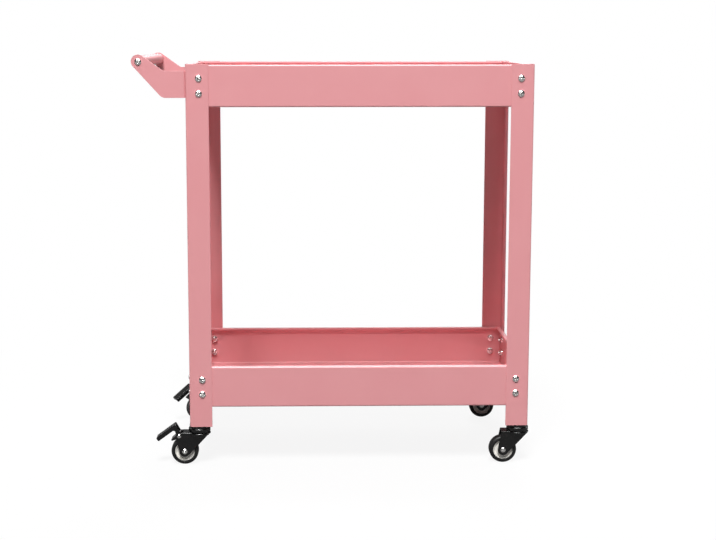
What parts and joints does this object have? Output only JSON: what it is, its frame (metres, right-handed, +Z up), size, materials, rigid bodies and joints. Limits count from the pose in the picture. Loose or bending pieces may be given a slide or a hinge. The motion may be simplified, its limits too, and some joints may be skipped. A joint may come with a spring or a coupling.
{
  "type": "kitchen cart",
  "caption": "Open rolling kitchen cart with two folded sheet-metal trays between angle legs, a side push handle on brackets, and small swivel casters, braked at the handle end.",
  "frame": {"origin": "on the floor, under the middle of the whole cart with its handle", "axes": "+X from the handle end to the plain end, +Y from the front to the rear, +Z up"},
  "size_m": [0.7195, 0.3518, 0.7509],
  "materials": {
    "pink_paint": "satin powder coat",
    "bright_zinc": "bright zinc",
    "black_enamel": "gloss enamel",
    "cream_plastic": "moulded",
    "black_rubber": "matt moulded",
    "grey_nylon": "moulded"
  },
  "bodies": {
    "cart": {"leg_front_left": "pink_paint", "foot_plate_front_left": "pink_paint", "leg_front_right": "pink_paint", "foot_plate_front_right": "pink_paint", "leg_rear_left": "pink_paint", "foot_plate_rear_left": "pink_paint", "leg_rear_right": "pink_paint", "foot_plate_rear_right": "pink_paint", "upper_tray": "pink_paint", "upper_tray_screws": "bright_zinc", "upper_tray_nuts": "bright_zinc", "lower_tray": "pink_paint", "lower_tray_screws": "bright_zinc", "lower_tray_nuts": "bright_zinc", "handle_bracket_front": "pink_paint", "handle_bracket_rear": "pink_paint", "handle_tube": "pink_paint", "handle_tube_plugs": "grey_nylon", "handle_tube_screws": "bright_zinc", "caster_stem_washers": "bright_zinc", "caster_stem_nuts": "bright_zinc", "caster_head_front_left": "black_enamel", "thrust_ring_front_left": "grey_nylon", "caster_head_front_right": "black_enamel", "thrust_ring_front_right": "grey_nylon", "caster_head_rear_left": "black_enamel", "thrust_ring_rear_left": "grey_nylon", "caster_head_rear_right": "black_enamel", "thrust_ring_rear_right": "grey_nylon"},
    "caster_front_left": {"caster_fork_front_left": "black_enamel", "caster_axle_front_left": "bright_zinc", "axle_sleeve_front_left": "grey_nylon", "brake_pin_front_left": "bright_zinc"},
    "wheel_front_left": {"wheel_core_front_left": "cream_plastic", "wheel_tyre_front_left": "black_rubber"},
    "brake_front_left": {"brake_pedal_front_left": "black_enamel"},
    "caster_front_right": {"caster_fork_front_right": "black_enamel", "caster_axle_front_right": "bright_zinc", "axle_sleeve_front_right": "grey_nylon"},
    "wheel_front_right": {"wheel_core_front_right": "cream_plastic", "wheel_tyre_front_right": "black_rubber"},
    "caster_rear_left": {"caster_fork_rear_left": "black_enamel", "caster_axle_rear_left": "bright_zinc", "axle_sleeve_rear_left": "grey_nylon", "brake_pin_rear_left": "bright_zinc"},
    "wheel_rear_left": {"wheel_core_rear_left": "cream_plastic", "wheel_tyre_rear_left": "black_rubber"},
    "brake_rear_left": {"brake_pedal_rear_left": "black_enamel"},
    "caster_rear_right": {"caster_fork_rear_right": "black_enamel", "caster_axle_rear_right": "bright_zinc", "axle_sleeve_rear_right": "grey_nylon"},
    "wheel_rear_right": {"wheel_core_rear_right": "cream_plastic", "wheel_tyre_rear_right": "black_rubber"}
  },
  "joints": [
    {"name": "swivel_front_left", "type": "hinge", "parent": "cart", "child": "caster_front_left", "pos_m": [-0.24875, -0.1525, 0.06], "axis": [0, 0, 1], "continuous": true},
    {"name": "roll_front_left", "type": "hinge", "parent": "caster_front_left", "child": "wheel_front_left", "pos_m": [-0.27575, -0.1525, 0.025], "axis": [0, 1, 0], "continuous": true},
    {"name": "brake_front_left", "type": "hinge", "parent": "caster_front_left", "child": "brake_front_left", "pos_m": [-0.28575, -0.1525, 0.054], "axis": [0, -1, 0], "range_deg": [0, 14]},
    {"name": "swivel_front_right", "type": "hinge", "parent": "cart", "child": "caster_front_right", "pos_m": [0.33925, -0.1525, 0.06], "axis": [0, 0, 1], "continuous": true},
    {"name": "roll_front_right", "type": "hinge", "parent": "caster_front_right", "child": "wheel_front_right", "pos_m": [0.31225, -0.1525, 0.025], "axis": [0, 1, 0], "continuous": true},
    {"name": "swivel_rear_left", "type": "hinge", "parent": "cart", "child": "caster_rear_left", "pos_m": [-0.24875, 0.1525, 0.06], "axis": [0, 0, 1], "continuous": true},
    {"name": "roll_rear_left", "type": "hinge", "parent": "caster_rear_left", "child": "wheel_rear_left", "pos_m": [-0.27302, 0.14066, 0.025], "axis": [-0.4384, 0.8988, 0], "continuous": true},
    {"name": "brake_rear_left", "type": "hinge", "parent": "caster_rear_left", "child": "brake_rear_left", "pos_m": [-0.28201, 0.13628, 0.054], "axis": [0.4384, -0.8988, 0], "range_deg": [0, 14]},
    {"name": "swivel_rear_right", "type": "hinge", "parent": "cart", "child": "caster_rear_right", "pos_m": [0.33925, 0.1525, 0.06], "axis": [0, 0, 1], "continuous": true},
    {"name": "roll_rear_right", "type": "hinge", "parent": "caster_rear_right", "child": "wheel_rear_right", "pos_m": [0.31225, 0.1525, 0.025], "axis": [0, 1, 0], "continuous": true}
  ]
}
